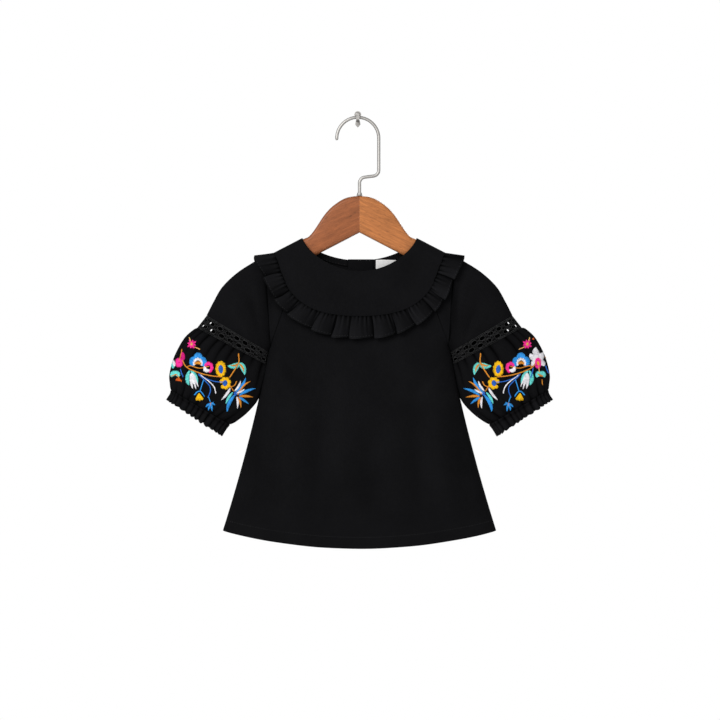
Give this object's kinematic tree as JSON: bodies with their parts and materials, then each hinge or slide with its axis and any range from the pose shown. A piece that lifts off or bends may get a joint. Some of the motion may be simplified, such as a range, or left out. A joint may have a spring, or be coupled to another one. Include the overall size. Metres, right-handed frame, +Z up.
{
  "type": "embroidered ruffle top on a hanger and wall hook",
  "caption": "Child's short-sleeved top with a round yoke, pleated ruffle, lace bands and gathered puff sleeves, hanging on a wooden hanger from a small wall hook.",
  "frame": {"origin": "the wall hook's screw hole, on the wall plane", "axes": "+X across the top to the viewer's right, +Y into the wall, +Z up; the front faces -Y"},
  "size_m": [0.4529, 0.0453, 0.5139],
  "materials": {
    "yoke_cloth": "matt black woven cotton",
    "body_cloth": "matt black woven cotton",
    "ruffle_cloth": "matt black woven cotton, hemmed",
    "sleeve_cloth": "matt black woven cotton",
    "lace": "black cotton lace",
    "label_tape": "blank white tape",
    "button": "black",
    "wood_left": "clear lacquer, darker half",
    "wood_right": "clear lacquer, lighter half",
    "hanger_steel": "nickel plated",
    "wall_steel": "satin"
  },
  "bodies": {
    "root": {"front_yoke": "yoke_cloth", "back_yoke_left": "yoke_cloth", "back_yoke_right": "yoke_cloth", "back_placket": "yoke_cloth", "back_neck_binding_left": "yoke_cloth", "back_neck_binding_right": "yoke_cloth", "front_body": "body_cloth", "back_body": "body_cloth", "side_front_left": "body_cloth", "side_front_right": "body_cloth", "ruffle_front": "ruffle_cloth", "ruffle_back": "ruffle_cloth", "upper_sleeve_left": "sleeve_cloth", "upper_sleeve_right": "sleeve_cloth", "lace_front_left": "lace", "lace_back_left": "lace", "lace_front_right": "lace", "lace_back_right": "lace", "puff_left": "sleeve_cloth", "puff_right": "sleeve_cloth", "cuff_left": "sleeve_cloth", "cuff_right": "sleeve_cloth", "neck_label": "label_tape", "back_button_1": "button", "back_button_2": "button", "back_button_3": "button", "hanger_wood_left": "wood_left", "hanger_wood_right": "wood_right", "hanger_hook": "hanger_steel", "hook_ferrule": "hanger_steel", "wall_hook": "wall_steel", "wall_screw": "wall_steel"}
  },
  "joints": []
}
